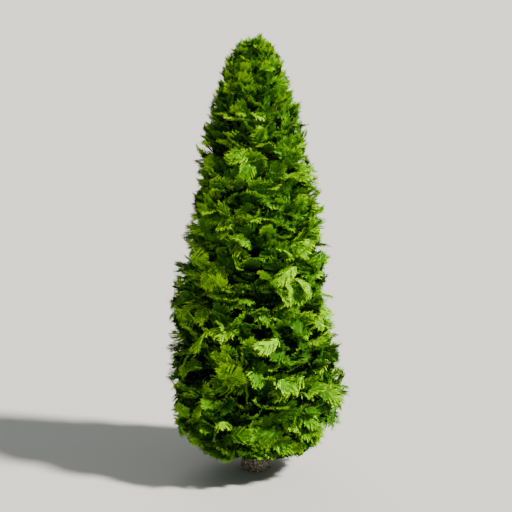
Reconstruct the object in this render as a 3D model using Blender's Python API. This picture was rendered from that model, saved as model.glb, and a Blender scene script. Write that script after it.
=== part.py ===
"""An upright arborvitae, rooted in the ground: one whole trunk with masses of foliage round it.

Metres, +Z up. The origin is the middle of the flat cut under the trunk, at ground level.

The crown is a blunt cone on a rounded foot. A spiral of hearts is spread over its skin, and each
heart has one mass, which keeps to the space that is nearer to its heart than to any other. The
border between two masses runs inwards to the trunk, and it climbs outwards, more so higher up.
Every mass grows by one rule. A stem leaves the trunk and climbs towards the heart. A core closes
the middle of the mass. A finer spiral of spots is spread over the skin too: from the stem, a twig
grows towards each spot that is the mass's own, and carries a flat toothed spray. The leader's
mass is on top of the trunk, with the skin above the other masses to itself.
"""

import math
import random

import bmesh
import bpy
from mathutils import Matrix, Vector
from mathutils.bvhtree import BVHTree

# The whole tree.
HEIGHT = 4.0
BELLY_HEIGHT = 0.78  # where the crown is widest
BELLY_RADIUS = 0.83
CROWN_FOOT = 0.04  # where the crown's rounded underside would close
TAPER_POWER = 0.42  # how blunt the crown's cone is: 1 would be a straight cone
RISE = 0.30  # how the borders between masses climb outwards, per metre of height

# The trunk.
TRUNK_SIDES = 16
TRUNK_RINGS = 11
TRUNK_TIP_HEIGHT = 3.32
TRUNK_RADIUS = 0.122  # at ground level, without the root flare
TRUNK_TIP_RADIUS = 0.010
FLARE = 0.017  # how much the root flare adds to the radius
FLARE_HEIGHT = 0.11
FLARE_RIBS = 5
FLARE_RIB_DEPTH = 0.006
TRUNK_SWAY = 0.012  # how far the trunk wanders from a straight line
TRUNK_CLEARANCE = 0.0003
TRUNK_KEEP_OUT = 0.025  # sprays and twigs stay this far from the trunk

# The masses.
MASSES = 36  # beside the leader's
LOWEST_HEART = 0.24
HIGHEST_HEART = 3.54
FOLIAGE_FOOT = 0.14  # no foliage below this height
LEADER_FOOT = 3.66  # the leader's mass has the skin above this height
TURN = math.pi * (3 - math.sqrt(5))  # between one heart or spot of a spiral and the next
CELL_MARGIN = 0.006
NEIGHBOURS = 12  # the nearest hearts, which a mass's borders are drawn from
LEAST_SKIN_RADIUS = 0.1  # used for the borders close to the crown's top
STEM_SIDES = 5
STEM_POINTS = 4
STEM_REACH = 0.60  # of the crown's radius
STEM_ROOT_RADIUS = 0.021
STEM_TIP_RADIUS = 0.008
CORE_REACH = 0.83  # of the crown's radius, in the middle of the core's outer face
CORE_RIM_REACH = 0.76
CORE_SPAN = 0.95  # of the way to the border
CORE_CORNERS = 8
CORE_HEEL = 0.05  # how far its inner end stays outside the trunk's keep-out
HEEL_SPAN = 0.9  # of the rim's height
CORE_LIFT = 0.03  # of a core's rim above the foliage's foot or the leader's
LEADER_DOME = 0.72  # of the way from the leader's foot to the top

# The sprays.
SPRAYS = 300
LOWEST_SPRAY = 0.18
HIGHEST_SPRAY = 3.95
LEAST_REACH = 0.96  # a tip's distance from the trunk, as a share of the crown's radius
MOST_REACH = 1.03
STRAY_LEAN = 78
# Sprays that stand out of the crown's skin: azimuth in degrees, height and reach.
STRAY_TIPS = ((-4, 0.70, 1.08), (182, 1.92, 1.08), (3, 2.45, 1.05), (178, 1.50, 1.05))
SPRAY_LENGTH = 0.40  # at the belly
SPRAY_LENGTH_TOP = 0.24
SPRAY_THICKNESS = 0.035  # of its length
SPRAY_SUNK = 0.12  # of its length, inside its twig
MOST_DROOP = 0.35
MOST_CUP = 0.5
ATTEMPTS = 16  # at placing a spray clear of the borders and of the mass's other sprays
PULL_IN = 0.05  # of the way to the heart, with each attempt
SHRINKAGE = 0.025  # of the length, with each attempt
ROLL_MORE = 3  # degrees added to the spread, with each attempt
TWIG_STATIONS = (0.75, 0.95)  # where twigs leave the stem, as shares of it
LEAN_TOP = 22  # degrees from upright, at the top of the crown
LEAN_BELLY = 48
LEAN_FOOT = 92
LEAN_SPREAD = 12
TURN_SPREAD = 14
ROLL_SPREAD = 24
TWIG_SIDES = 3
TWIG_ROOT_RADIUS = 0.0085
TWIG_TIP_RADIUS = 0.0055

# A spray's outline, as shares of its length: across it, and along it from its root to its tip.
SPRAY_OUTLINE = ((0.34, 0.46), (0.20, 0.58), (0.25, 0.84))
SPRAY_MIDDLE = 0.45

SEED = 7


def clear_scene():
    for thing in list(bpy.data.objects):
        bpy.data.objects.remove(thing)


def lerp(a, b, share):
    return a + (b - a) * share


def crown_radius(height):
    """The radius of the crown's skin at a height."""
    if height >= HEIGHT:
        return 0.0
    if height >= BELLY_HEIGHT:
        share = (HEIGHT - height) / (HEIGHT - BELLY_HEIGHT)
        return BELLY_RADIUS * share**TAPER_POWER
    drop = (BELLY_HEIGHT - height) / (BELLY_HEIGHT - CROWN_FOOT)
    return BELLY_RADIUS * math.sqrt(max(0.0, 1 - drop * drop))


def polar(azimuth, radius, height):
    return Vector((radius * math.cos(azimuth), radius * math.sin(azimuth), height))


def radius_of(point):
    return math.hypot(point.x, point.y)


def under_skin(azimuth, skin_height, share):
    """The point at a share of the way from the axis to the skin, along a line that climbs outwards."""
    full = crown_radius(skin_height)
    radius = share * full
    return polar(azimuth, radius, skin_height * (1 + RISE * radius) / (1 + RISE * full))


def skin_height_of(point):
    """The height at which this point's climbing line comes out of the skin."""
    on_axis = point.z / (1 + RISE * radius_of(point))
    low = 0.0
    high = HEIGHT
    for _ in range(18):
        middle = (low + high) / 2
        if middle / (1 + RISE * crown_radius(middle)) < on_axis:
            low = middle
        else:
            high = middle
    return (low + high) / 2


def spray_length(height):
    return lerp(SPRAY_LENGTH_TOP, SPRAY_LENGTH, crown_radius(height) / BELLY_RADIUS)


def spiral(count, lowest, highest, first_turn, crowding):
    """Places over the skin, as (azimuth, height), from the lowest up.

    crowding(height) is how many there are to a metre up the skin there, next to elsewhere.
    """
    steps = 600
    heights = [lerp(lowest, highest, k / steps) for k in range(steps + 1)]
    sums = [0.0]
    for low, high in zip(heights, heights[1:]):
        up_skin = math.hypot(high - low, crown_radius(high) - crown_radius(low))
        sums.append(sums[-1] + up_skin * crowding((low + high) / 2))
    places = []
    step = 0
    for k in range(count):
        wanted = sums[-1] * k / (count - 1)
        while step < steps - 1 and sums[step + 1] < wanted:
            step += 1
        share = (wanted - sums[step]) / (sums[step + 1] - sums[step])
        places.append((first_turn + k * TURN, lerp(heights[step], heights[step + 1], share)))
    return places


def turn_between(a, b):
    return (a - b + math.pi) % (2 * math.pi) - math.pi


def skin_distance(azimuth, height, place, radius):
    """The distance over the skin, unrolled where its radius is this, to a place."""
    return math.hypot(radius * turn_between(azimuth, place[0]), height - place[1])


def trunk_axis(height):
    """The middle of the trunk at a height: upright, with a slight sway that starts above the ground."""
    share = min(1.0, height / TRUNK_TIP_HEIGHT)
    sway = TRUNK_SWAY * math.sin(math.pi * share) ** 2
    return Vector((sway * math.cos(5 * share), sway * math.sin(5 * share), height))


def trunk_radius(height, azimuth):
    share = min(1.0, height / TRUNK_TIP_HEIGHT)
    straight = lerp(TRUNK_RADIUS, TRUNK_TIP_RADIUS, share**0.85)
    near_ground = math.exp(-height / FLARE_HEIGHT)
    ribs = FLARE_RIB_DEPTH * math.cos(FLARE_RIBS * azimuth)
    return straight + (FLARE + ribs) * near_ground


def material(name, colour, roughness):
    made = bpy.data.materials.new(name)
    made.use_nodes = True
    shader = made.node_tree.nodes["Principled BSDF"]
    shader.inputs["Base Color"].default_value = (*colour, 1)
    shader.inputs["Roughness"].default_value = roughness
    shader.inputs["Metallic"].default_value = 0.0
    made.diffuse_color = (*colour, 1)
    return made


def object_from(builder, name, collection):
    """An object with the mesh of this bmesh, which is then freed."""
    mesh = bpy.data.meshes.new(name)
    bmesh.ops.recalc_face_normals(builder, faces=builder.faces)
    builder.to_mesh(mesh)
    builder.free()
    made = bpy.data.objects.new(name, mesh)
    collection.objects.link(made)
    return made


def bridge_rings(builder, rings):
    """Closes a stack of rings of vertices into a tube with flat ends."""
    sides = len(rings[0])
    for lower, upper in zip(rings, rings[1:]):
        for k in range(sides):
            after = (k + 1) % sides
            builder.faces.new((lower[k], lower[after], upper[after], upper[k]))
    builder.faces.new(rings[0])
    builder.faces.new(rings[-1])


def trunk_object(name, grow, collection):
    """The trunk, grown sideways by this much: the cutter for the stems' roots is one such."""
    builder = bmesh.new()
    rings = []
    for ring in range(TRUNK_RINGS):
        height = TRUNK_TIP_HEIGHT * (ring / (TRUNK_RINGS - 1)) ** 1.6
        middle = trunk_axis(height)
        corners = []
        for side in range(TRUNK_SIDES):
            azimuth = 2 * math.pi * side / TRUNK_SIDES
            corner = polar(azimuth, trunk_radius(height, azimuth) + grow, 0) + middle
            corners.append(builder.verts.new(corner))
        rings.append(corners)
    bridge_rings(builder, rings)
    return object_from(builder, name, collection)


def limb_object(points, radii, sides, collection):
    """A tapered limb through these points, with a flat end at each."""
    builder = bmesh.new()
    rings = []
    side_way = None
    for k, point in enumerate(points):
        along = (points[min(k + 1, len(points) - 1)] - points[max(k - 1, 0)]).normalized()
        if side_way is None:
            side_way = along.orthogonal()
        side_way = (side_way - along * side_way.dot(along)).normalized()
        other_way = along.cross(side_way)
        ring = []
        for side in range(sides):
            turn = 2 * math.pi * side / sides
            offset = side_way * math.cos(turn) + other_way * math.sin(turn)
            ring.append(builder.verts.new(point + offset * radii[k]))
        rings.append(ring)
    bridge_rings(builder, rings)
    return object_from(builder, "limb", collection)


class Spray:
    """A flat toothed blade, thickest in the middle and sharp at the edge."""

    def __init__(self, tip, along, across, length, droop, cup):
        self.root = tip - along * length
        up = across.cross(along)

        def place(x, y, lift=0.0):
            bend = droop * y * (1 - y) - cup * x * x
            return self.root + length * (across * x + along * y + up * (bend + lift))

        right = [place(x, y) for x, y in SPRAY_OUTLINE]
        left = [place(-x, y) for x, y in reversed(SPRAY_OUTLINE)]
        self.outline = [place(0, -SPRAY_SUNK), *right, place(0, 1), *left]
        self.top = place(0, SPRAY_MIDDLE, SPRAY_THICKNESS / 2)
        self.bottom = place(0, SPRAY_MIDDLE, -SPRAY_THICKNESS / 2)
        faces = []
        count = len(self.outline)
        for k in range(count):
            faces.append((k, (k + 1) % count, count))
            faces.append(((k + 1) % count, k, count + 1))
        self.faces = faces
        self.tree = BVHTree.FromPolygons(self.corners(), faces)

    def corners(self):
        return [*self.outline, self.top, self.bottom]

    def build(self, collection):
        builder = bmesh.new()
        corners = [builder.verts.new(point) for point in self.corners()]
        for face in self.faces:
            builder.faces.new([corners[k] for k in face])
        return object_from(builder, "spray", collection)


class Cell:
    """The space that one mass keeps to."""

    def __init__(self, hearts, index):
        self.heart = hearts[index] if index < len(hearts) else None
        self.azimuth, self.height = self.heart or (0.0, (LEADER_FOOT + HEIGHT) / 2)
        self.radius = crown_radius(self.height)
        others = [heart for heart in hearts if heart is not self.heart]
        others.sort(key=lambda heart: skin_distance(*heart, (self.azimuth, self.height), self.radius))
        self.neighbours = others[:NEIGHBOURS] if self.heart else []

    def skin_room(self, azimuth, height):
        """The distance over the skin from here to the cell's border. Outside, it is below zero."""
        if not self.heart:
            return height - LEADER_FOOT
        radius = max(LEAST_SKIN_RADIUS, crown_radius(height))
        own = skin_distance(azimuth, height, self.heart, radius)
        rooms = [LEADER_FOOT - height]
        for other in self.neighbours:
            apart = skin_distance(*self.heart, other, radius)
            far = skin_distance(azimuth, height, other, radius)
            rooms.append((far * far - own * own) / (2 * apart))
        return min(rooms)

    def room(self, point):
        """How far a point is inside the cell, less the margin. Outside, it is below zero."""
        azimuth = math.atan2(point.y, point.x)
        height = skin_height_of(point)
        full = max(LEAST_SKIN_RADIUS, crown_radius(height))
        narrowing = min(1.0, radius_of(point) / full) if self.heart else 1.0
        rooms = [self.skin_room(azimuth, height) * narrowing, point.z - FOLIAGE_FOOT]
        if point.z < TRUNK_TIP_HEIGHT + TRUNK_KEEP_OUT:
            away = (point - trunk_axis(point.z)).length
            rooms.append(away - trunk_radius(max(point.z, 0.0), azimuth) - TRUNK_KEEP_OUT)
        return min(rooms) - CELL_MARGIN

    def stem(self):
        """The stem's points, from inside the trunk outwards. The leader's goes straight up."""
        if not self.heart:
            foot = trunk_axis(TRUNK_TIP_HEIGHT) + Vector((0, 0, TRUNK_CLEARANCE))
            tip = Vector((0, 0, lerp(LEADER_FOOT, HEIGHT, LEADER_DOME) - CORE_LIFT))
            return [foot.lerp(tip, k / (STEM_POINTS - 1)) for k in range(STEM_POINTS)]
        points = []
        for k in range(STEM_POINTS):
            share = STEM_REACH * k / (STEM_POINTS - 1)
            points.append(under_skin(self.azimuth, self.height, share))
        axis = trunk_axis(points[0].z)
        points[0] += Vector((axis.x, axis.y, 0))
        return points

    def reach_towards(self, turn):
        """How far over the skin a core's rim goes from the heart, this way round it."""
        step = 0.01
        reach = 0.0
        while True:
            azimuth, height = self.place(turn, reach + step)
            if self.skin_room(azimuth, height) < CELL_MARGIN or height < FOLIAGE_FOOT + CORE_LIFT:
                return reach
            reach += step

    def place(self, turn, reach):
        """A place on the skin, this far from the heart, as (azimuth, height)."""
        azimuth = self.azimuth + reach * math.cos(turn) / self.radius
        return azimuth, self.height + reach * math.sin(turn)

    def rim(self):
        """The corners of the core's outer face, on the skin, as (azimuth, height)."""
        turns = [2 * math.pi * k / CORE_CORNERS for k in range(CORE_CORNERS)]
        if not self.heart:
            return [(turn, LEADER_FOOT + CORE_LIFT) for turn in turns]
        return [self.place(turn, self.reach_towards(turn) * CORE_SPAN) for turn in turns]


def stem_station(points, share):
    """The point at this share of a stem."""
    place = share * (len(points) - 1)
    k = min(int(place), len(points) - 2)
    return points[k].lerp(points[k + 1], place - k)


def core_object(cell, collection):
    """A faceted cushion in the middle of the cell, domed outwards and narrower at its heel."""
    builder = bmesh.new()
    places = cell.rim()
    rim = [builder.verts.new(under_skin(*place, CORE_RIM_REACH)) for place in places]
    if cell.heart:
        dome = builder.verts.new(under_skin(cell.azimuth, cell.height, CORE_REACH))
        heel = []
        for azimuth, height in places[::2]:
            height = lerp(cell.height, height, HEEL_SPAN)
            radius = trunk_radius(height, azimuth) + TRUNK_KEEP_OUT + CORE_HEEL
            heel.append(builder.verts.new(under_skin(azimuth, height, radius / crown_radius(height))))
        builder.faces.new(heel)
        for k, corner in enumerate(heel):
            before, middle, after = rim[2 * k - 1], rim[2 * k], rim[2 * k + 1]
            builder.faces.new((before, middle, corner))
            builder.faces.new((middle, after, corner))
            builder.faces.new((after, heel[(k + 1) % len(heel)], corner))
    else:
        dome = builder.verts.new((0, 0, lerp(LEADER_FOOT, HEIGHT, LEADER_DOME)))
        sole = builder.verts.new(under_skin(0.0, LEADER_FOOT + CORE_LIFT, 0.0))
        for k, corner in enumerate(rim):
            builder.faces.new((corner, rim[k - 1], sole))
    for k, corner in enumerate(rim):
        builder.faces.new((corner, rim[k - 1], dome))
    return object_from(builder, "core", collection)


def lean_at(height):
    """How far a spray leans from upright, in degrees, at this height on the skin."""
    if height > BELLY_HEIGHT:
        return lerp(LEAN_BELLY, LEAN_TOP, (height - BELLY_HEIGHT) / (HEIGHT - BELLY_HEIGHT))
    return lerp(LEAN_FOOT, LEAN_BELLY, max(0.0, height - CROWN_FOOT) / (BELLY_HEIGHT - CROWN_FOOT))


def try_spray(cell, spot, draw, attempt):
    """A spray at this spot, pulled in towards the heart and turned more with each attempt."""
    azimuth, height, reach = spot
    if cell.heart:
        azimuth -= PULL_IN * attempt * turn_between(azimuth, cell.azimuth)
    height = lerp(height, cell.height, PULL_IN * attempt)
    length = spray_length(height) * (1 - SHRINKAGE * attempt)
    lean = STRAY_LEAN if reach > MOST_REACH else lean_at(height) + draw.gauss(0, LEAN_SPREAD)
    lean = math.radians(lean)
    up = Vector((0, 0, 1))
    out = polar(azimuth, 1, 0)
    along = out * math.sin(lean) + up * math.cos(lean)
    facing = up.cross(out).cross(along)
    turn = math.radians(draw.gauss(0, TURN_SPREAD))
    along = Matrix.Rotation(turn, 3, facing) @ along
    roll = math.radians(draw.gauss(0, ROLL_SPREAD + ROLL_MORE * attempt))
    across = Matrix.Rotation(roll, 3, along) @ along.cross(facing).normalized()
    tip_height = min(HEIGHT, height + 0.4 * length * along.z)
    tip = polar(azimuth, crown_radius(tip_height) * reach, tip_height)
    return Spray(tip, along, across, length, draw.uniform(0, MOST_DROOP), draw.uniform(0, MOST_CUP))


def best_spray(cell, spot, draw, others):
    """The first spray that keeps to the cell and clears the mass's other sprays.

    Where none is clear, it is the first one that keeps to the cell, and where none does, None.
    """
    fallback = None
    for attempt in range(ATTEMPTS):
        spray = try_spray(cell, spot, draw, attempt)
        if min(cell.room(point) for point in spray.corners()) < 0:
            continue
        if not any(spray.tree.overlap(other.tree) for other in others):
            return spray
        fallback = fallback or spray
    return fallback


def keep_largest_shell(thing):
    """Drops loose scraps and fills sealed hollows, which are the shells other than the largest."""
    builder = bmesh.new()
    builder.from_mesh(thing.data)
    unseen = set(builder.faces)
    shells = []
    while unseen:
        first = unseen.pop()
        shell = [first]
        edge = [first]
        while edge:
            face = edge.pop()
            for side in face.edges:
                for other in side.link_faces:
                    if other in unseen:
                        unseen.remove(other)
                        shell.append(other)
                        edge.append(other)
        shells.append(shell)
    shells.sort(key=len)
    for shell in shells[:-1]:
        bmesh.ops.delete(builder, geom=shell, context="FACES")
    builder.to_mesh(thing.data)
    builder.free()


def apply_boolean(thing, operation, **operand):
    change = thing.modifiers.new("joined", "BOOLEAN")
    change.operation = operation
    change.solver = "EXACT"
    for name, value in operand.items():
        setattr(change, name, value)
    bpy.context.view_layer.objects.active = thing
    bpy.ops.object.modifier_apply(modifier=change.name)


def foliage_mass(name, cell, spots, draw, cutter, finish, collection):
    """One mass: stem, core, twigs and sprays, fused, with the stem's root cut clear of the trunk."""
    pieces = bpy.data.collections.new("pieces of " + name)
    bpy.context.scene.collection.children.link(pieces)
    stem = cell.stem()
    root_radius = lerp(0.6, 1.0, cell.radius / BELLY_RADIUS) * STEM_ROOT_RADIUS
    radii = [lerp(root_radius, STEM_TIP_RADIUS, k / (STEM_POINTS - 1)) for k in range(STEM_POINTS)]
    mass = limb_object(stem, radii, STEM_SIDES, collection)
    mass.name = mass.data.name = name
    core_object(cell, pieces)
    sprays = []
    for spot in spots:
        spray = best_spray(cell, spot, draw, sprays)
        if spray is None:
            continue
        sprays.append(spray)
        spray.build(pieces)
        foot = stem_station(stem, draw.uniform(*TWIG_STATIONS))
        limb_object((foot, spray.root), (TWIG_ROOT_RADIUS, TWIG_TIP_RADIUS), TWIG_SIDES, pieces)
    apply_boolean(mass, "UNION", operand_type="COLLECTION", collection=pieces)
    for piece in list(pieces.objects):
        bpy.data.objects.remove(piece)
    bpy.data.collections.remove(pieces)
    if cell.heart:
        apply_boolean(mass, "DIFFERENCE", object=cutter)
    keep_largest_shell(mass)
    mass.data.materials.clear()
    mass.data.materials.append(finish)
    print(name, len(mass.data.polygons), "faces,", len(sprays), "of", len(spots), "sprays")


def hearts_crowding(height):
    return 1.0


def sprays_crowding(height):
    return crown_radius(height) / spray_length(height) ** 2


def spray_spots():
    """Every spray's spot on the skin, as (azimuth, height, reach)."""
    draw = random.Random(SEED)
    spots = []
    for azimuth, height in spiral(SPRAYS, LOWEST_SPRAY, HIGHEST_SPRAY, 0.5, sprays_crowding):
        spots.append((azimuth, height, draw.uniform(LEAST_REACH, MOST_REACH)))
    for azimuth, height, reach in STRAY_TIPS:
        azimuth = math.radians(azimuth)
        radius = crown_radius(height)
        spots.sort(key=lambda spot: skin_distance(spot[0], spot[1], (azimuth, height), radius))
        spots[0] = (azimuth, height, reach)
    return spots


def shared_out(spots, hearts):
    """The spots of each heart's mass, and those of the leader last."""
    shares = [[] for _ in range(len(hearts) + 1)]
    for spot in spots:
        owner = len(hearts)
        if spot[1] < LEADER_FOOT:
            radius = crown_radius(spot[1])
            distances = [skin_distance(spot[0], spot[1], heart, radius) for heart in hearts]
            owner = distances.index(min(distances))
        shares[owner].append(spot)
    return shares


def main():
    clear_scene()
    collection = bpy.context.scene.collection
    bark = material("bark", (0.16, 0.13, 0.10), 0.9)
    foliage = material("foliage", (0.10, 0.22, 0.02), 0.7)
    trunk = trunk_object("trunk", 0.0, collection)
    trunk.data.materials.append(bark)
    trunk.data.shade_smooth()
    trunk.data.set_sharp_from_angle(angle=math.radians(40))
    cutter = trunk_object("trunk clearance", TRUNK_CLEARANCE, collection)
    cutter.hide_render = True
    cutter.display_type = "WIRE"
    hearts = spiral(MASSES, LOWEST_HEART, HIGHEST_HEART, 0.0, hearts_crowding)
    for index, spots in enumerate(shared_out(spray_spots(), hearts)):
        name = f"foliage_{index + 1:02d}" if index < MASSES else "foliage_leader"
        draw = random.Random(SEED * 1000 + index)
        foliage_mass(name, Cell(hearts, index), spots, draw, cutter, foliage, collection)
    bpy.data.objects.remove(cutter)


main()
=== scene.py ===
import math
import random

import bpy
import numpy as np
from mathutils import Matrix, Vector


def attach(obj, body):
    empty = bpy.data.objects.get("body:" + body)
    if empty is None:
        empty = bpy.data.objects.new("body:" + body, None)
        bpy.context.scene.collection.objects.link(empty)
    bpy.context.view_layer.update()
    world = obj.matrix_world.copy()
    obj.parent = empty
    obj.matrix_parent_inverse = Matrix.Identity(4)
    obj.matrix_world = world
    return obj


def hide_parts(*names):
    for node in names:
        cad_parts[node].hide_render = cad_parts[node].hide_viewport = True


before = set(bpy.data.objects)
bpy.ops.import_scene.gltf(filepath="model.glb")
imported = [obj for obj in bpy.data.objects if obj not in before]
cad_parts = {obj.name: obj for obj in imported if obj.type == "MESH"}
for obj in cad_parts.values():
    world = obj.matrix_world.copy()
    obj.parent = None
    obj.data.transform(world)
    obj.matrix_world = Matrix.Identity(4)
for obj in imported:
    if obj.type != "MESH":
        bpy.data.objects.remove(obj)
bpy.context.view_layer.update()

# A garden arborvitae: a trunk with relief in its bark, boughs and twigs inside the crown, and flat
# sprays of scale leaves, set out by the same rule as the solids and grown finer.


def rgb(text):
    parts = [int(text[k:k + 2], 16) / 255 for k in (1, 3, 5)]
    return tuple(p / 12.92 if p <= 0.04045 else ((p + 0.055) / 1.055) ** 2.4 for p in parts)


def addNode(tree, kind, settings=None, links=None):
    # settings are properties or values of inputs, links are outputs that feed inputs
    node = tree.nodes.new(kind)
    for key, value in (settings or {}).items():
        if isinstance(key, str) and hasattr(node, key):
            setattr(node, key, value)
        else:
            node.inputs[key].default_value = value
    for key, source in (links or {}).items():
        tree.links.new(source, node.inputs[key])
    return node


def newMaterial(name):
    made = bpy.data.materials.new(name)
    made.use_nodes = True
    return made, made.node_tree, made.node_tree.nodes["Principled BSDF"]


def lerp(a, b, share):
    return a + (b - a) * share


# the crown's shape, which everything on the tree is placed by
crown = {
    "height": 4.0,
    "bellyHeight": 0.78,   # widest here
    "bellyRadius": 0.83,
    "foot": 0.04,          # where its round underside would close
    "taper": 0.42,         # 1 would be a straight cone
    "rise": 0.30,          # how lines of growth climb outwards, per metre of height
    "leaderFoot": 3.66,    # the leader's mass has the skin above this height
    "lowestHeart": 0.24,
    "highestHeart": 3.54,
    "masses": 36,          # beside the leader's
    "lastSkin": 3.98,      # tips above this keep its radius, which would shrink to nothing
}
turnStep = math.pi * (3 - math.sqrt(5))   # the golden angle, from one place of a spiral to the next


def crownRadius(height):
    if height >= crown["height"]:
        return 0.0
    if height >= crown["bellyHeight"]:
        share = (crown["height"] - height) / (crown["height"] - crown["bellyHeight"])
        return crown["bellyRadius"] * share ** crown["taper"]
    drop = (crown["bellyHeight"] - height) / (crown["bellyHeight"] - crown["foot"])
    return crown["bellyRadius"] * math.sqrt(max(0.0, 1 - drop * drop))


def polar(azimuth, radius, height):
    return Vector((radius * math.cos(azimuth), radius * math.sin(azimuth), height))


def underSkin(azimuth, skinHeight, share):
    full = crownRadius(skinHeight)
    radius = share * full
    height = skinHeight * (1 + crown["rise"] * radius) / (1 + crown["rise"] * full)
    return polar(azimuth, radius, height)


def spiral(count, lowest, highest, firstTurn, crowding):
    # places over the skin as (azimuth, height), evenly apart where crowding is the same
    heights = np.linspace(lowest, highest, 600)
    radii = np.array([crownRadius(h) for h in heights])
    between = (heights[1:] + heights[:-1]) / 2
    upSkin = np.hypot(np.diff(heights), np.diff(radii)) * np.array([crowding(h) for h in between])
    sums = np.concatenate(([0.0], np.cumsum(upSkin)))
    found = np.interp(np.linspace(0, sums[-1], count), sums, heights)
    return [(firstTurn + k * turnStep, float(h)) for k, h in enumerate(found)]


def turnBetween(a, b):
    return (a - b + math.pi) % (2 * math.pi) - math.pi


def skinDistance(azimuth, height, place, radius):
    return math.hypot(radius * turnBetween(azimuth, place[0]), height - place[1])


hearts = spiral(crown["masses"], crown["lowestHeart"], crown["highestHeart"], 0.0, lambda height: 1.0)
massNames = [f"foliage_{k + 1:02d}" for k in range(len(hearts))] + ["foliage_leader"]


def ownerOf(azimuth, height):
    if height >= crown["leaderFoot"]:
        return len(hearts)
    radius = crownRadius(height)
    distances = [skinDistance(azimuth, height, heart, radius) for heart in hearts]
    return distances.index(min(distances))


# the trunk: rings extruded upwards from the ground, then the bark's relief
trunk = {
    "tipHeight": 3.32,
    "radius": 0.122,
    "tipRadius": 0.010,
    "taper": 0.85,         # 1 would be a straight cone
    "flare": 0.017,        # how much the root flare adds to the radius
    "flareHeight": 0.11,
    "ribs": 5,
    "ribDepth": 0.006,
    "sway": 0.012,
    "sides": 120,
    "rings": 64,
    "crowding": 1.6,       # above 1, the rings are closer together at the foot
    "cutBand": 0.002,      # what is lower than this lies flat on the ground
    "furrowWidth": 0.030,  # from one furrow of the bark to the next, about twice as far as real ones
    "furrowLength": 4.5,   # in widths
    "furrowDepth": 0.013,
    "flakeWidth": 0.4,     # in furrows' widths
    "flakeDepth": 0.5,     # in furrows' depths
}


def trunkAxis(height):
    share = min(1.0, height / trunk["tipHeight"])
    sway = trunk["sway"] * math.sin(math.pi * share) ** 2
    return Vector((sway * math.cos(5 * share), sway * math.sin(5 * share), height))


def trunkRadius(height):
    share = min(1.0, height / trunk["tipHeight"])
    straight = lerp(trunk["radius"], trunk["tipRadius"], share ** trunk["taper"])
    return straight + trunk["flare"] * math.exp(-height / trunk["flareHeight"])


def applyModifiers(piece):
    bpy.context.view_layer.objects.active = piece
    for change in list(piece.modifiers):
        bpy.ops.object.modifier_apply(modifier=change.name)


def barkTexture(name, kind, size, **settings):
    texture = bpy.data.textures.new(name, kind)
    texture.noise_scale = size
    for key, value in settings.items():
        setattr(texture, key, value)
    return texture


def makeTrunk():
    bpy.ops.object.select_all(action="DESELECT")
    bpy.ops.mesh.primitive_circle_add(vertices=trunk["sides"], radius=trunkRadius(0.0),
                                      fill_type="NGON")
    made = bpy.context.object
    made.name = "trunkBark"
    bpy.ops.object.mode_set(mode="EDIT")
    bpy.ops.mesh.select_all(action="SELECT")
    here = 0.0     # the height of the last ring
    for ring in range(1, trunk["rings"]):
        height = trunk["tipHeight"] * (ring / (trunk["rings"] - 1)) ** trunk["crowding"]
        step = trunkAxis(height) - trunkAxis(here)
        bpy.ops.mesh.extrude_region_move(TRANSFORM_OT_translate={"value": step})
        size = trunkRadius(height) / trunkRadius(here)
        bpy.ops.transform.resize(value=(size, size, 1), center_override=trunkAxis(height))
        here = height
    bpy.ops.mesh.select_all(action="SELECT")
    bpy.ops.mesh.normals_make_consistent(inside=False)
    bpy.ops.object.mode_set(mode="OBJECT")
    # the flare's ribs, where the roots leave
    for vertex in made.data.vertices:
        azimuth = math.atan2(vertex.co.y, vertex.co.x)
        away = math.hypot(vertex.co.x, vertex.co.y)
        rib = trunk["ribDepth"] * math.cos(trunk["ribs"] * azimuth)
        grow = 1 + rib * math.exp(-vertex.co.z / trunk["flareHeight"]) / away
        vertex.co.x *= grow
        vertex.co.y *= grow
    # an empty that draws the relief out along the trunk
    bpy.ops.object.empty_add(location=(0, 0, 0))
    stretch = bpy.context.object
    stretch.scale = (1, 1, trunk["furrowLength"])
    bpy.context.view_layer.update()
    width = trunk["furrowWidth"]
    deep = trunk["furrowDepth"]
    furrows = barkTexture("barkFurrows", "CLOUDS", width, noise_basis="VORONOI_CRACKLE", noise_depth=0)
    flakes = barkTexture("barkFlakes", "CLOUDS", width * trunk["flakeWidth"],
                         noise_basis="BLENDER_ORIGINAL", noise_depth=2)
    # most of the relief sinks inwards, so that the trunk grows no thicker
    for texture, depth, middle in ((furrows, deep, 1.0), (flakes, deep * trunk["flakeDepth"], 0.8)):
        change = made.modifiers.new(texture.name, "DISPLACE")
        change.texture = texture
        change.texture_coords = "OBJECT"
        change.texture_coords_object = stretch
        change.strength = depth
        change.mid_level = middle
    applyModifiers(made)
    bpy.data.objects.remove(stretch)
    for vertex in made.data.vertices:      # the cut at the ground stays flat
        if vertex.co.z < trunk["cutBand"]:
            vertex.co.z = 0.0
    for face in made.data.polygons:
        face.use_smooth = len(face.vertices) == 4
    return made


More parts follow.
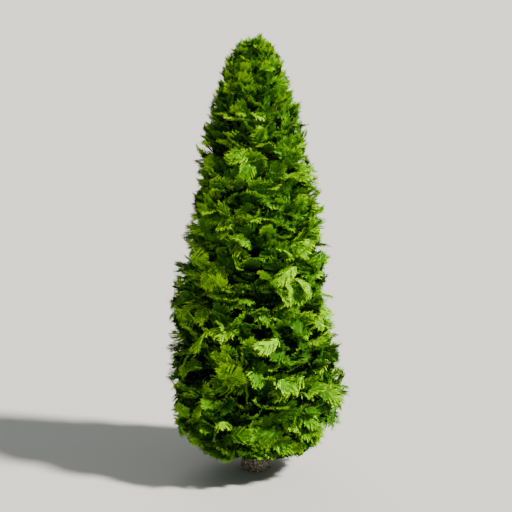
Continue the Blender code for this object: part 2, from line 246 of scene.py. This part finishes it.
# arborvitae bark: the eye sees grey-brown strips over nearly black furrows, with pale, dusty patches; the
# furrows' darkness is partly the wood's own and partly painted shade.
# width is one strip's in metres, and length is in widths
def barkMaterial(name, ridge, furrow, dust, width, length):
    made, tree, shader = newMaterial(name)
    # strips, finer fibres that are drawn out with them, and dusty patches some 110 mm across
    place = addNode(tree, "ShaderNodeTexCoord")
    fit = addNode(tree, "ShaderNodeMapping", {"Scale": (1 / width, 1 / width, 1 / (width * length))},
                  {"Vector": place.outputs["Object"]})
    strips = addNode(tree, "ShaderNodeTexVoronoi", {"feature": "DISTANCE_TO_EDGE", "Scale": 1.0},
                     {"Vector": fit.outputs["Vector"]})
    fibres = addNode(tree, "ShaderNodeTexNoise", {"Scale": 2.6, "Detail": 6.0, "Roughness": 0.7},
                     {"Vector": fit.outputs["Vector"]})
    patches = addNode(tree, "ShaderNodeTexNoise", {"Scale": 9.0, "Detail": 3.0},
                      {"Vector": place.outputs["Object"]})
    depth = addNode(tree, "ShaderNodeMath", {"operation": "MULTIPLY_ADD", 1: 0.55},
                    {0: fibres.outputs["Fac"], 2: strips.outputs["Distance"]})
    # painted shade: the deeper the relief, the darker the colour, down to the nearly black furrow colour
    ramp = addNode(tree, "ShaderNodeValToRGB", None, {"Fac": depth.outputs["Value"]})
    ramp.color_ramp.elements[0].position = 0.30
    ramp.color_ramp.elements[0].color = (*rgb(furrow), 1)
    ramp.color_ramp.elements[1].position = 0.60
    ramp.color_ramp.elements[1].color = (*rgb(ridge), 1)
    middle = ramp.color_ramp.elements.new(0.44)
    middle.color = tuple((a * 2 + b) / 3 for a, b in zip((*rgb(ridge), 1), (*rgb(furrow), 1)))
    dusty = addNode(tree, "ShaderNodeMapRange", {"From Min": 0.5, "From Max": 0.75, "To Max": 0.6},
                    {"Value": patches.outputs["Fac"]})
    mix = addNode(tree, "ShaderNodeMix", {"data_type": "RGBA"}, {"Factor": dusty.outputs["Result"]})
    tree.links.new(ramp.outputs["Color"], mix.inputs["A"])
    mix.inputs["B"].default_value = (*rgb(dust), 1)
    tree.links.new(mix.outputs["Result"], shader.inputs["Base Color"])
    bump = addNode(tree, "ShaderNodeBump", {"Strength": 0.8, "Distance": width * 0.15},
                   {"Height": depth.outputs["Value"]})
    tree.links.new(bump.outputs["Normal"], shader.inputs["Normal"])
    shader.inputs["Roughness"].default_value = 0.92
    shader.inputs["Specular IOR Level"].default_value = 0.25
    return made


trunkPiece = makeTrunk()
# old bark that peels in strips, about twice as wide here as real ones, so that they show from afar
peelingBark = barkMaterial("peelingBark", "#beb096", "#120e0a", "#9c9682", 0.019, 2.0)
trunkPiece.data.materials.append(peelingBark)
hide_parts("trunk")
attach(trunkPiece, "root")
print("trunk", len(trunkPiece.data.polygons), "faces")


# a spray: a flat fan of branchlets in lengths of itself, root at the origin, tip along +Y
spray = {
    "halfWidth": 0.41,
    "ribWidth": 0.022,
    "ribStations": ((0.0, 1.0), (0.35, 0.9), (0.7, 0.7), (1.0, 0.3)),   # its width along it
    "ribSway": 0.10,
    "ribLift": 0.004,          # above the branchlets
    "branchletsFrom": 0.06,    # the lowest leaves the rib here
    "branchletsTo": 0.94,
    "jitter": 0.2,             # how far a branchlet's foot is off its place, in steps between them
    "opening": (70, 22),       # degrees between a branchlet and the rib, at the foot and at the tip
    "openingSpread": 4.0,
    "ahead": 0.16,             # a branchlet reaches the fan's edge this much further up than its foot
    "leastSine": 0.42,         # of the opening, so that the steepest don't grow too long
    "shortest": 0.12,
    "furthest": 1.10,          # how far up the last tips are
    "lengthSpread": (0.84, 1.10),
    "bend": (0.25, 0.80),      # how far branchlets curve on towards the tip
    "branchletWidth": 0.026,   # where it leaves the rib
    "narrowing": 0.65,         # the uppermost are this share as wide
    "stations": ((0.0, 1.0), (0.78, 1.5), (1.0, 0.0)),   # its width along it
    "unevenness": 0.015,       # how far branchlets stand above or below the fan, per length out
    "roll": 0.12,              # how far a branchlet turns about its own length
    "leafLength": 0.066,
    "leafSpread": (0.7, 1.3),
    "leafWidth": 0.019,        # where it leaves its branchlet
    "leavesFrom": 0.10,        # the share of a branchlet between whose ends its leaves are
    "leavesTo": 0.97,
    "leafTurn": (18, 42),      # degrees off the branchlet
    "leafLift": 0.6,           # how far a leaf's tip stands up or down, in lengths of it
    "offTint": 0.24,           # the share of lengths of branchlet with a lighter or darker tint
    "leafOffTint": 0.5,        # and of leaves
    "leafAhead": 0.12,         # leaves take the next tint this much sooner than their branchlet
    "blend": 0.16,             # how unevenly one tint gives way to the next
    "lobes": 0.22,             # how deep the margin is lobed
    "lobeTop": 1.04,           # how far the lobes' tips reach, against the fan's edge
    "lobeTurn": (0.5, 0.8),    # how far round a lobe's wave goes from one branchlet to the next
    "cup": (0.8, 1.8),         # how far the sides roll down, and its spread
    "cupApart": 1.2,           # how unlike the two sides are
    "cupLimits": (-2.6, 2.9),
    "ripple": 0.04,
    "rippleWaves": (8, 6),     # across and along
    "twist": 0.3,
    "twistFrom": 0.3,          # the place along it that keeps its turn
}
# branchlets a side, pairs of leaves on each, shapes made, how many sprays the crown has of each sort,
# how far out their tips are, and the share of the outer sprays' lean that they have
layers = {
    "outer": {"branchlets": 30, "pairs": 4, "shapes": 16, "count": 1060,
              "reach": (0.92, 1.04), "lean": 1.0},
    "middle": {"branchlets": 13, "pairs": 2, "shapes": 8, "count": 1040,
               "reach": (0.83, 0.96), "lean": 0.7},
    "inner": {"branchlets": 7, "pairs": 1, "shapes": 5, "count": 820,
              "reach": (0.62, 0.84), "lean": 0.4},
}


def fanWidth(y):
    # how far out the fan reaches at this share of its length
    lopsided = min(1.0, max(0.0, y)) ** 0.9    # widest a little below the middle
    return spray["halfWidth"] * math.sin(math.pi * lopsided) ** 0.6


def partAt(share):
    # 0 rib, 1 inner, 2 outer and 3 at the edge, which take a tint each
    return 1 if share < 0.25 else 2 if share < 0.72 else 3


def growShape(draw, branchlets, pairs):
    # vertices, triangles and the part that each triangle is of
    verts = []
    faces = []
    parts = []
    crowd = layers["outer"]["branchlets"] / branchlets     # fewer branchlets are wider ones

    def mottled(share, chance):
        # the part at this share of a branchlet, or by chance the one before or after it
        part = partAt(share)
        off = draw.choice((-1, 1)) if draw.random() < chance else 0
        return max(1, min(3, part + off))

    def blade(points, widths, headings, roll, bladeParts):
        # a strip that ends in a point
        first = len(verts)
        last = len(points) - 1
        for k, (x, y, z) in enumerate(points[:-1]):
            halfX = math.cos(headings[k]) * widths[k] / 2
            halfY = -math.sin(headings[k]) * widths[k] / 2
            verts.append((x - halfX, y - halfY, z - roll * widths[k] / 2))
            verts.append((x + halfX, y + halfY, z + roll * widths[k] / 2))
        verts.append(points[-1])
        for k in range(last - 1):
            a = first + 2 * k
            faces.extend(((a, a + 1, a + 3), (a, a + 3, a + 2)))
            parts.extend((bladeParts[k],) * 2)
        a = first + 2 * (last - 1)
        faces.append((a, a + 1, a + 2))
        parts.append(bladeParts[-1])

    def leaf(x, y, z, heading, turn, length, width, lift, part):
        # leaves its branchlet over its width and ends in a point, turned off to one side
        first = len(verts)
        angle = heading + turn
        verts.append((x, y, z))
        verts.append((x + math.sin(heading) * width, y + math.cos(heading) * width, z))
        verts.append((x + math.sin(angle) * length, y + math.cos(angle) * length, z + lift))
        faces.append((first, first + 2, first + 1) if turn > 0 else (first, first + 1, first + 2))
        parts.append(part)

    sway = draw.uniform(-spray["ribSway"], spray["ribSway"])
    lobeStart = draw.uniform(0, 3)     # anywhere on the lobes' wave
    lobeTurn = draw.uniform(*spray["lobeTurn"]) * crowd

    def ribAt(y):
        return sway * math.sin(math.pi * y), y

    blade([(*ribAt(y), spray["ribLift"]) for y, _ in spray["ribStations"]],
          [spray["ribWidth"] * width for _, width in spray["ribStations"]],
          [0.0] * len(spray["ribStations"]), 0.0, [0, 0, 2])
    stations = spray["stations"]
    centres = [(u[0] + v[0]) / 2 for u, v in zip(stations, stations[1:])]
    for side in (-1, 1):
        for k in range(branchlets):
            # the right side's are half a step further up
            step = k + 0.25 * (side + 1) + draw.uniform(-spray["jitter"], spray["jitter"])
            place = step / branchlets
            y0 = lerp(spray["branchletsFrom"], spray["branchletsTo"], place)
            opening = math.radians(lerp(*spray["opening"], y0) + draw.gauss(0, spray["openingSpread"]))
            reach = fanWidth(y0 + spray["ahead"]) / max(spray["leastSine"], math.sin(opening))
            reach *= draw.uniform(*spray["lengthSpread"])
            reach *= spray["lobeTop"] - spray["lobes"] * math.cos(lobeStart + lobeTurn * k) ** 2
            reach = min(reach, max(spray["shortest"], spray["furthest"] - y0))
            bend = -draw.uniform(*spray["bend"])
            tilt = draw.gauss(0, spray["unevenness"])
            x, y = ribAt(y0)
            points = [(x, y, 0.0)]
            headings = [side * opening]
            before = 0.0
            for at, _ in stations[1:]:
                angle = opening + bend * (before + at) / 2
                x += side * math.sin(angle) * reach * (at - before)
                y += math.cos(angle) * reach * (at - before)
                points.append((x, y, tilt * at * (1 + 0.5 * at)))      # more so further out
                headings.append(side * (opening + bend * at))
                before = at
            base = spray["branchletWidth"] * crowd * lerp(1.0, spray["narrowing"], y0)
            early = draw.gauss(0, spray["blend"])
            blade(points, [base * width for _, width in stations], headings,
                  draw.gauss(0, spray["roll"]), [mottled(c + early, spray["offTint"]) for c in centres])
            for j in range(pairs):
                place = (j + draw.uniform(0.3, 0.9)) / pairs
                share = lerp(spray["leavesFrom"], spray["leavesTo"], place)
                q = max(c for c in range(len(points) - 1) if stations[c][0] <= share)
                low, high = stations[q][0], stations[q + 1][0]
                between = (share - low) / (high - low)
                here = [lerp(a, b, between) for a, b in zip(points[q], points[q + 1])]
                heading = side * (opening + bend * share)
                width = spray["leafWidth"] * crowd ** 0.7      # fewer leaves are larger too, but by less
                for turn in (-1, 1):
                    length = spray["leafLength"] * draw.uniform(*spray["leafSpread"]) * crowd ** 0.5
                    angle = turn * math.radians(draw.uniform(*spray["leafTurn"]))
                    lift = length * draw.uniform(-spray["leafLift"], spray["leafLift"])
                    leaf(*here, heading, angle, length, width, lift,
                         mottled(share + early + spray["leafAhead"], spray["leafOffTint"]))
    return np.array(verts), np.array(faces), np.array(parts)


shapeDraw = random.Random(11)
shapes = {}
for layer, plan in layers.items():
    shapes[layer] = []
    for _ in range(plan["shapes"]):
        shapes[layer].append(growShape(shapeDraw, plan["branchlets"], plan["pairs"]))
    print(layer, "shapes with", [len(s[1]) for s in shapes[layer]], "faces")


def bentSpray(verts, droop, cups, ripple, twist):
    # droop bends it along an arc, cups roll each side down along one, and twist turns it from root to tip
    straight = 1e-3    # a bend smaller than this is taken as this
    x, y, z = verts[:, 0], verts[:, 1], verts[:, 2]
    z = z + ripple * np.sin(spray["rippleWaves"][0] * x + spray["rippleWaves"][1] * y)
    cup = np.where(x < 0, cups[0], cups[1])
    cup = np.where(np.abs(cup) < straight, straight, cup)
    angle = cup * np.abs(x)
    x = np.sign(x) * (np.sin(angle) / cup + z * np.sin(angle))
    z = z * np.cos(angle) - (1 - np.cos(angle)) / cup
    turned = twist * (y - spray["twistFrom"])
    x, z = x * np.cos(turned) - z * np.sin(turned), x * np.sin(turned) + z * np.cos(turned)
    droop = droop if abs(droop) > straight else straight
    angle = droop * y
    alongY = np.sin(angle) / droop + z * np.sin(angle)
    alongZ = -(1 - np.cos(angle)) / droop + z * np.cos(angle)
    return np.stack((x, alongY, alongZ), 1)


# scale leaves of arborvitae, colour and roughness: a matt waxy skin with no gleam, so that the eye sees
# how old a leaf is, with painted shade in the darker tints for leaves further in and painted highlight in
# part of the lighter ones
leafTints = {
    "leafDeepShade": ("#0d1a06", 0.68),     # painted shade: inside the crown, where it looks nearly black
    "leafShade": ("#182d0a", 0.64),    # old green, darkened further as painted shade for behind the outer sprays
    "leafMid": ("#2f5610", 0.62),      # the body of most sprays
    "leafFresh": ("#447a10", 0.60),    # this year's green
    "leafLime": ("#78b204", 0.58),     # soft growth, lighter in part as painted sun where it edges a spray
    "leafTip": ("#98ca02", 0.56),      # the yellowish outermost ends, lighter in part as painted highlight on the rims
    "leafPale": ("#7c941e", 0.64),     # young stems among the leaves
    "leafTan": ("#4f4c1e", 0.75),      # older stems, turning to wood
}
leafOrder = list(leafTints)
leafMaterials = []
for name, (colour, roughness) in leafTints.items():
    made, tree, shader = newMaterial(name)
    shader.inputs["Base Color"].default_value = (*rgb(colour), 1)
    shader.inputs["Roughness"].default_value = roughness
    shader.inputs["Specular IOR Level"].default_value = 0.0
    leafMaterials.append(made)

# the tint of each part of a spray: rib, inner, outer, edge. The lighter edges are partly young growth and
# partly painted highlight, and the lit, shade and deep sorts are painted light and shade
sprayColours = {
    "lime": ("leafPale", "leafFresh", "leafLime", "leafTip"),
    "fresh": ("leafPale", "leafFresh", "leafFresh", "leafTip"),
    "lit": ("leafTan", "leafMid", "leafFresh", "leafLime"),
    "pale": ("leafTan", "leafPale", "leafFresh", "leafLime"),
    "plain": ("leafMid", "leafMid", "leafMid", "leafFresh"),
    "shade": ("leafShade", "leafShade", "leafMid", "leafMid"),
    # painted shade for sprays deep in the crown, nearly black
    "deep": ("leafDeepShade", "leafDeepShade", "leafDeepShade", "leafShade"),
}
# how many of a layer's sprays have each, young growth first
layerColours = {
    "outer": (("lime", 0.16), ("fresh", 0.20), ("lit", 0.33), ("pale", 0.03), ("plain", 0.19),
              ("shade", 0.09)),
    # painted shade: the middle and inner layers take the darkest sorts, for the shade inside the crown
    "middle": (("plain", 0.35), ("shade", 0.50), ("deep", 0.15)),
    "inner": (("shade", 0.2), ("deep", 0.8)),
}

# where the sprays are, and how each is held
foliage = {
    "lowest": 0.17,
    "highest": 3.97,
    "lengthTop": 0.135,
    "length": 0.29,
    "leanTop": 37,         # degrees from upright
    "leanBelly": 73,
    "leanFoot": 96,
    "leanPower": 1.8,      # above 1, the lean of the belly is kept further up
    "leanSpread": (17, 12),      # at the belly and at the top, like the next three
    "turnSpread": (36, 20),
    "rollSpread": (24, 16),
    "droop": (0.38, 0.15),
    "droopSpread": 0.45,
    "leastDroop": -0.5,
    "sizeSpread": (0.75, 1.30),
    "edgeOn": 0.06,        # the share of the outer sprays that are rolled up on edge
    "edgeRoll": (70, 100),       # and how far
    "turnJitter": 0.06,    # radians off its place on the spiral
    "heightJitter": 0.02,
    "topSpread": (-0.03, 0.02),  # how far the tips at the top are off the crown's height
    "youngTop": 2.6,       # how much more of the young growth the top has
    "footHeight": 0.115,   # nothing hangs below this at the trunk,
    "footSlope": 0.07,     # this much higher for each metre out
    "footLift": 0.10,      # and this much higher in front
    "lumps": 0.025,        # how far the skin swells and sinks
    "ledge": 0.055,        # how far a mass stands out at its foot and sinks in at its top,
    "ledgeHeight": 0.2,    # this far below and above its heart
    "overReach": 0.015,    # leaves are kept within this much of their layer's reach,
    "widest": 0.855,       # and within this of the tree's axis,
    "mostShift": 0.22,     # by moving their spray in by up to this much
    "strayWidest": 0.885,
    "strayLean": 78,
    "strayHeightJitter": 0.04,
    "strayCount": 3,       # at each place
    # turn, height and reach of each
    "strays": ((-4, 0.70, 1.08), (182, 1.92, 1.08), (3, 2.45, 1.05), (178, 1.50, 1.05)),
}


def sprayLength(height):
    return lerp(foliage["lengthTop"], foliage["length"], crownRadius(height) / crown["bellyRadius"])


def leanAt(height):
    belly = crown["bellyHeight"]
    if height > belly:
        share = (height - belly) / (crown["height"] - belly)
        return lerp(foliage["leanBelly"], foliage["leanTop"], share ** foliage["leanPower"])
    share = max(0.0, height - crown["foot"]) / (belly - crown["foot"])
    return lerp(foliage["leanFoot"], foliage["leanBelly"], share)


def lumpAt(azimuth, height):
    # waves that wind up round the crown, three broad ones and five narrow ones
    broad = math.sin(3 * azimuth + 3.1 * height)
    narrow = 0.8 * math.sin(5 * azimuth - 5.3 * height + 1)
    return foliage["lumps"] * (broad + narrow)


def ledgeAt(owner, height):
    if owner == len(hearts):
        return 0.0
    below = (hearts[owner][1] - height) / foliage["ledgeHeight"]
    return foliage["ledge"] * max(-1.0, min(1.0, below))


def pickFamily(draw, layer, up):
    chance = draw.random() ** (1 + foliage["youngTop"] * up)   # more young growth towards the top
    for family, share in layerColours[layer]:
        chance -= share
        if chance < 0:
            return family
    return layerColours[layer][-1][0]


# the skin's radius at every 5 mm up, to look up
skinHeights = np.linspace(0, crown["height"] + 0.3, 860)
skinRadii = np.array([crownRadius(h) for h in skinHeights])


def keptInside(placed, azimuth, limit, widest, top):
    # moves a spray in from the skin's limit, down from the top and up from the foot
    away = np.hypot(placed[:, 0], placed[:, 1])
    placed = placed - np.array((0, 0, max(0.0, placed[:, 2].max() - top)))
    room = np.minimum(limit * np.interp(placed[:, 2], skinHeights, skinRadii), widest)
    shift = min((away - room).max(), foliage["mostShift"], 0.5 * room[np.argmax(away)])
    placed = placed - np.array(polar(azimuth, max(0.0, shift), 0))
    away = np.hypot(placed[:, 0], placed[:, 1])
    foot = foliage["footHeight"] + foliage["footLift"] * max(0.0, -math.sin(azimuth)) ** 2
    low = (foot + foliage["footSlope"] * away - placed[:, 2]).max()
    if low > 0:
        placed = placed + np.array((0, 0, low))
    return placed


spreads = ("leanSpread", "turnSpread", "rollSpread", "droop")      # these change up the crown


def growSpray(draw, layer, azimuth, height, strayReach=None):
    # the mass that it belongs to, and its vertices, triangles and tints
    plan = layers[layer]
    owner = ownerOf(azimuth, height)
    reach = draw.uniform(*plan["reach"]) + lumpAt(azimuth, height) + ledgeAt(owner, height)
    length = sprayLength(height) * draw.uniform(*foliage["sizeSpread"])
    up = max(0.0, (height - crown["bellyHeight"]) / (crown["height"] - crown["bellyHeight"]))
    leanSpread, turnSpread, rollSpread, droop = (lerp(*foliage[key], up) for key in spreads)
    lean = math.radians(leanAt(height) * plan["lean"] + draw.gauss(0, leanSpread))
    if strayReach:
        reach, lean = strayReach, math.radians(foliage["strayLean"])
    # it leans outwards from upright, turns to one side and rolls about its own length
    out = polar(azimuth, 1, 0)
    zenith = Vector((0, 0, 1))
    along = out * math.sin(lean) + zenith * math.cos(lean)
    facing = zenith.cross(out).cross(along)
    along = Matrix.Rotation(math.radians(draw.gauss(0, turnSpread)), 3, facing) @ along
    roll = draw.gauss(0, rollSpread)
    if layer == "outer" and draw.random() < foliage["edgeOn"]:
        roll = draw.choice((-1, 1)) * draw.uniform(*foliage["edgeRoll"])
    across = Matrix.Rotation(math.radians(roll), 3, along) @ facing.cross(along).normalized()
    normal = across.cross(along)
    if normal.dot(out * 0.6 + zenith) < 0 and abs(roll) < foliage["edgeRoll"][0]:
        across, normal = -across, -normal      # its upper side faces up and out
    droop = max(foliage["leastDroop"], draw.gauss(droop, foliage["droopSpread"]) * lean)
    shape = shapes[layer][draw.randrange(plan["shapes"])]
    cup = draw.gauss(*spray["cup"])
    least, most = spray["cupLimits"]
    cups = [max(least, min(most, cup + draw.gauss(0, spray["cupApart"]))) for _ in range(2)]
    ripple = draw.uniform(0, spray["ripple"])
    bent = bentSpray(shape[0], droop, cups, ripple, draw.gauss(0, spray["twist"]))
    basis = np.array([across, along, normal])
    turned = bent @ basis * length
    # its outermost point goes to its place under the skin
    tip = polar(azimuth, crownRadius(min(height, crown["lastSkin"])) * reach, height)
    outermost = turned[np.argmax(turned @ np.array(out))]
    placed = turned - outermost + np.array(tip)
    top = crown["height"] + draw.uniform(*foliage["topSpread"])
    top -= 0.5 * (layers["outer"]["reach"][1] - plan["reach"][1])      # lower for the inner layers
    limit = max(reach, plan["reach"][1] + foliage["overReach"] + lumpAt(azimuth, height))
    widest = foliage["strayWidest" if strayReach else "widest"]
    placed = keptInside(placed, azimuth, limit, widest, top)
    family = pickFamily(draw, layer, up)
    tints = np.array([leafOrder.index(t) for t in sprayColours[family]])[shape[2]]
    return owner, (placed, shape[1], tints)


growDraw = random.Random(23)
grown = {k: [] for k in range(len(massNames))}         # each mass's sprays
sprayRoots = {k: [] for k in range(len(massNames))}    # and where they grow from
for number, (layer, plan) in enumerate(layers.items()):
    # each layer has a spiral of its own, with more places where the sprays are shorter
    places = spiral(plan["count"], foliage["lowest"], foliage["highest"], 0.4 + number,
                    lambda height: crownRadius(height) / sprayLength(height) ** 2)
    for azimuth, height in places:
        azimuth += growDraw.gauss(0, foliage["turnJitter"])
        height += growDraw.gauss(0, foliage["heightJitter"])
        owner, item = growSpray(growDraw, layer, azimuth, height)
        grown[owner].append(item)
        sprayRoots[owner].append(Vector(item[0][:2].mean(0)))
for turn, height, reach in foliage["strays"]:
    for _ in range(foliage["strayCount"]):
        azimuth = math.radians(turn) + growDraw.gauss(0, foliage["turnJitter"])
        strayHeight = height + growDraw.gauss(0, foliage["strayHeightJitter"])
        owner, item = growSpray(growDraw, "outer", azimuth, strayHeight, reach)
        grown[owner].append(item)
        sprayRoots[owner].append(Vector(item[0][:2].mean(0)))
print("sprays grown:", sum(len(g) for g in grown.values()))


def joinedPiece(name, items, materials):
    # one mesh from many (vertices, triangles, material numbers)
    vertList, faceList, tintList = [], [], []
    total = 0
    for placed, faces, tints in items:
        vertList.append(placed)
        faceList.append(faces + total)
        tintList.append(tints)
        total += len(placed)
    verts = np.concatenate(vertList)
    faces = np.concatenate(faceList)
    tints = np.concatenate(tintList)
    mesh = bpy.data.meshes.new(name)
    mesh.vertices.add(len(verts))
    mesh.vertices.foreach_set("co", verts.astype(np.float32).ravel())
    mesh.loops.add(len(faces) * 3)
    mesh.loops.foreach_set("vertex_index", faces.astype(np.int32).ravel())
    mesh.polygons.add(len(faces))
    mesh.polygons.foreach_set("loop_start", np.arange(0, len(faces) * 3, 3, dtype=np.int32))
    for made in materials:
        mesh.materials.append(made)
    mesh.polygons.foreach_set("material_index", tints.astype(np.int32))
    mesh.update(calc_edges=True)
    mesh.validate()
    piece = bpy.data.objects.new(name, mesh)
    bpy.context.scene.collection.objects.link(piece)
    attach(piece, "root")
    print(name, len(faces), "triangles")
    return piece


# neighbouring masses share a piece, up to this many triangles
pieceLimit = 185000
groups = [[]]
load = 0
for k in range(len(massNames)):
    size = sum(len(item[1]) for item in grown[k])
    if load + size > pieceLimit:
        groups.append([])
        load = 0
    groups[-1].append(k)
    load += size
for number, group in enumerate(groups):
    items = [item for k in group for item in grown[k]]
    piece = joinedPiece(f"sprays{number + 1}", items, leafMaterials)
    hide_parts(*[massNames[k] for k in group])


# boughs and twigs: a bough for each mass, as the solids have, and twigs from it to the sprays
limbs = {
    "boughReach": 0.60,    # of the crown's radius
    "boughRoot": 0.021,    # its radius, like the next
    "boughTip": 0.008,
    "boughSides": 9,
    "boughRings": 12,
    "boughSway": 0.05,     # radians from side to side
    "boughRough": 0.12,    # how uneven its girth is
    "leaderSize": 0.6,     # the leader's bough against the others
    "leaderSunk": 0.02,    # how far down in the trunk's tip it starts
    "leaderReach": 0.6,    # of the way from the leader's foot to the crown's top
    "twigRoot": 0.0065,
    "twigTip": 0.0030,
    "twigSides": 4,
    "twigRings": 4,
    "twigRough": 0.1,
    "twigFrom": (0.45, 1.0),   # where twigs leave the bough
    "twigSag": (0.0, 0.12),
    "twigDepth": 0.92,     # sprays that start further out than this have no twig of their own
}


def tube(points, radii, sides, draw, roughness):
    # a closed tapering limb along the points
    rings = []
    sideWay = None
    for k, point in enumerate(points):
        along = (points[min(k + 1, len(points) - 1)] - points[max(k - 1, 0)]).normalized()
        if sideWay is None:
            sideWay = along.orthogonal()
        sideWay = (sideWay - along * sideWay.dot(along)).normalized()
        otherWay = along.cross(sideWay)
        for side in range(sides):
            turn = 2 * math.pi * side / sides
            size = radii[k] * (1 + draw.uniform(-roughness, roughness))
            rings.append(point + (sideWay * math.cos(turn) + otherWay * math.sin(turn)) * size)
    faces = []
    for k in range(len(points) - 1):
        for side in range(sides):
            a, b = k * sides + side, k * sides + (side + 1) % sides
            faces.append((a, b, b + sides))
            faces.append((a, b + sides, a + sides))
    last = (len(points) - 1) * sides
    faces.extend((last, last + side, last + side + 1) for side in range(1, sides - 1))
    faces.extend((0, side + 1, side) for side in range(1, sides - 1))
    return np.array(rings), np.array(faces), np.zeros(len(faces), int)


def boughPath(k):
    count = limbs["boughRings"]
    if k == len(hearts):
        foot = trunkAxis(trunk["tipHeight"] - limbs["leaderSunk"])
        tip = Vector((0, 0, lerp(crown["leaderFoot"], crown["height"], limbs["leaderReach"])))
        return [foot.lerp(tip, j / (count - 1)) for j in range(count)]
    azimuth, height = hearts[k]
    points = []
    for j in range(count):
        share = j / (count - 1)
        turn = azimuth + limbs["boughSway"] * math.sin(4 * share + k)
        point = underSkin(turn, height, limbs["boughReach"] * share)
        axis = trunkAxis(point.z)      # it starts on the trunk's own axis
        points.append(point + Vector((axis.x, axis.y, 0)) * (1 - share))
    return points


def curvedTwig(foot, root, sag):
    points = []
    for j in range(limbs["twigRings"]):
        share = j / (limbs["twigRings"] - 1)
        point = foot.lerp(root, share)
        point.z -= sag * math.sin(math.pi * share) * (root - foot).length
        points.append(point)
    return points


limbDraw = random.Random(5)
boughs, twigs = [], []
twigLast = limbs["twigRings"] - 1
twigRadii = [lerp(limbs["twigRoot"], limbs["twigTip"], j / twigLast) for j in range(twigLast + 1)]
for k in range(len(massNames)):
    path = boughPath(k)
    size = 1.0 if k < len(hearts) else limbs["leaderSize"]
    last = len(path) - 1
    boughRadii = [size * lerp(limbs["boughRoot"], limbs["boughTip"], j / last) for j in range(last + 1)]
    boughs.append(tube(path, boughRadii, limbs["boughSides"], limbDraw, limbs["boughRough"]))
    for root in sprayRoots[k]:
        if math.hypot(root.x, root.y) > limbs["twigDepth"] * crownRadius(root.z):
            continue
        share = limbDraw.uniform(*limbs["twigFrom"])
        foot = path[round(share * last)]
        twigPath = curvedTwig(foot, root, limbDraw.uniform(*limbs["twigSag"]))
        twigs.append(tube(twigPath, twigRadii, limbs["twigSides"], limbDraw, limbs["twigRough"]))

# younger bark, browner and in narrower strips: a hint of wood in the gaps, darkened with painted shade
boughBark = barkMaterial("boughBark", "#7d6a50", "#2c2118", "#6f6a58", 0.012, 5)
# smooth young bark: the eye picks out rust brown lines between the greens
twigBark, tree, shader = newMaterial("twigBark")
shader.inputs["Base Color"].default_value = (*rgb("#6b4c30"), 1)
shader.inputs["Roughness"].default_value = 0.8
boughPiece = joinedPiece("boughs", boughs, [boughBark])
twigPiece = joinedPiece("twigs", twigs, [twigBark])

floor = {"size": 600.0, "colour": "#b2b0ac"}
bpy.ops.object.select_all(action="DESELECT")
bpy.ops.mesh.primitive_plane_add(size=floor["size"], location=(0, 0, 0))
ground = bpy.context.object
ground.name = "floor"
paintedFloor, tree, shader = newMaterial("paintedFloor")   # matt paint, pale and even, with no gleam
shader.inputs["Base Color"].default_value = (*rgb(floor["colour"]), 1)
shader.inputs["Roughness"].default_value = 0.9
ground.data.materials.append(paintedFloor)

# a warm key from the right and a little in front, a faint wide fill from behind, and an even surround.
# turn is from straight in front, to the right, and height is above level, both in degrees
lights = {
    "surround": 0.33,
    "surroundColour": (0.88, 0.98, 1.0, 1),
    "key": {"power": 13.4, "angle": 6, "turn": 70, "height": 43, "colour": (1.0, 0.97, 0.90)},
    "fill": {"power": 1.0, "angle": 40, "turn": 190, "height": 35, "colour": (1.0, 0.98, 0.94)},
}
world = bpy.data.worlds.new("studio")
bpy.context.scene.world = world
world.use_nodes = True
background = world.node_tree.nodes["Background"]
background.inputs["Color"].default_value = lights["surroundColour"]
background.inputs["Strength"].default_value = lights["surround"]
for name in ("key", "fill"):
    plan = lights[name]
    bpy.ops.object.light_add(type="SUN", location=(0, 0, 6))
    lamp = bpy.context.object
    lamp.name = name + "Light"
    lamp.data.energy = plan["power"]
    lamp.data.angle = math.radians(plan["angle"])
    lamp.data.color = plan["colour"]
    turn = math.radians(plan["turn"])
    height = math.radians(plan["height"])
    level = math.cos(height)
    towards = Vector((math.sin(turn) * level, -math.cos(turn) * level, math.sin(height)))
    lamp.rotation_euler = towards.to_track_quat("Z", "Y").to_euler()

# metres off, degrees above level, and millimetres for the lens and its sensor
camera = {"distance": 12.0, "tilt": 12.0, "lens": 93.3, "sensor": 36, "aim": (0.0137, 0.0, 2.018)}
bpy.ops.object.camera_add()
eye = bpy.context.object
eye.name = "camera"
tilt = math.radians(camera["tilt"])
away = Vector((0, -math.cos(tilt), math.sin(tilt)))
eye.location = Vector(camera["aim"]) + away * camera["distance"]
eye.rotation_euler = (math.pi / 2 - tilt, 0, 0)
eye.data.lens = camera["lens"]
eye.data.sensor_width = camera["sensor"]
bpy.context.scene.camera = eye
print("floor, lights and camera set")
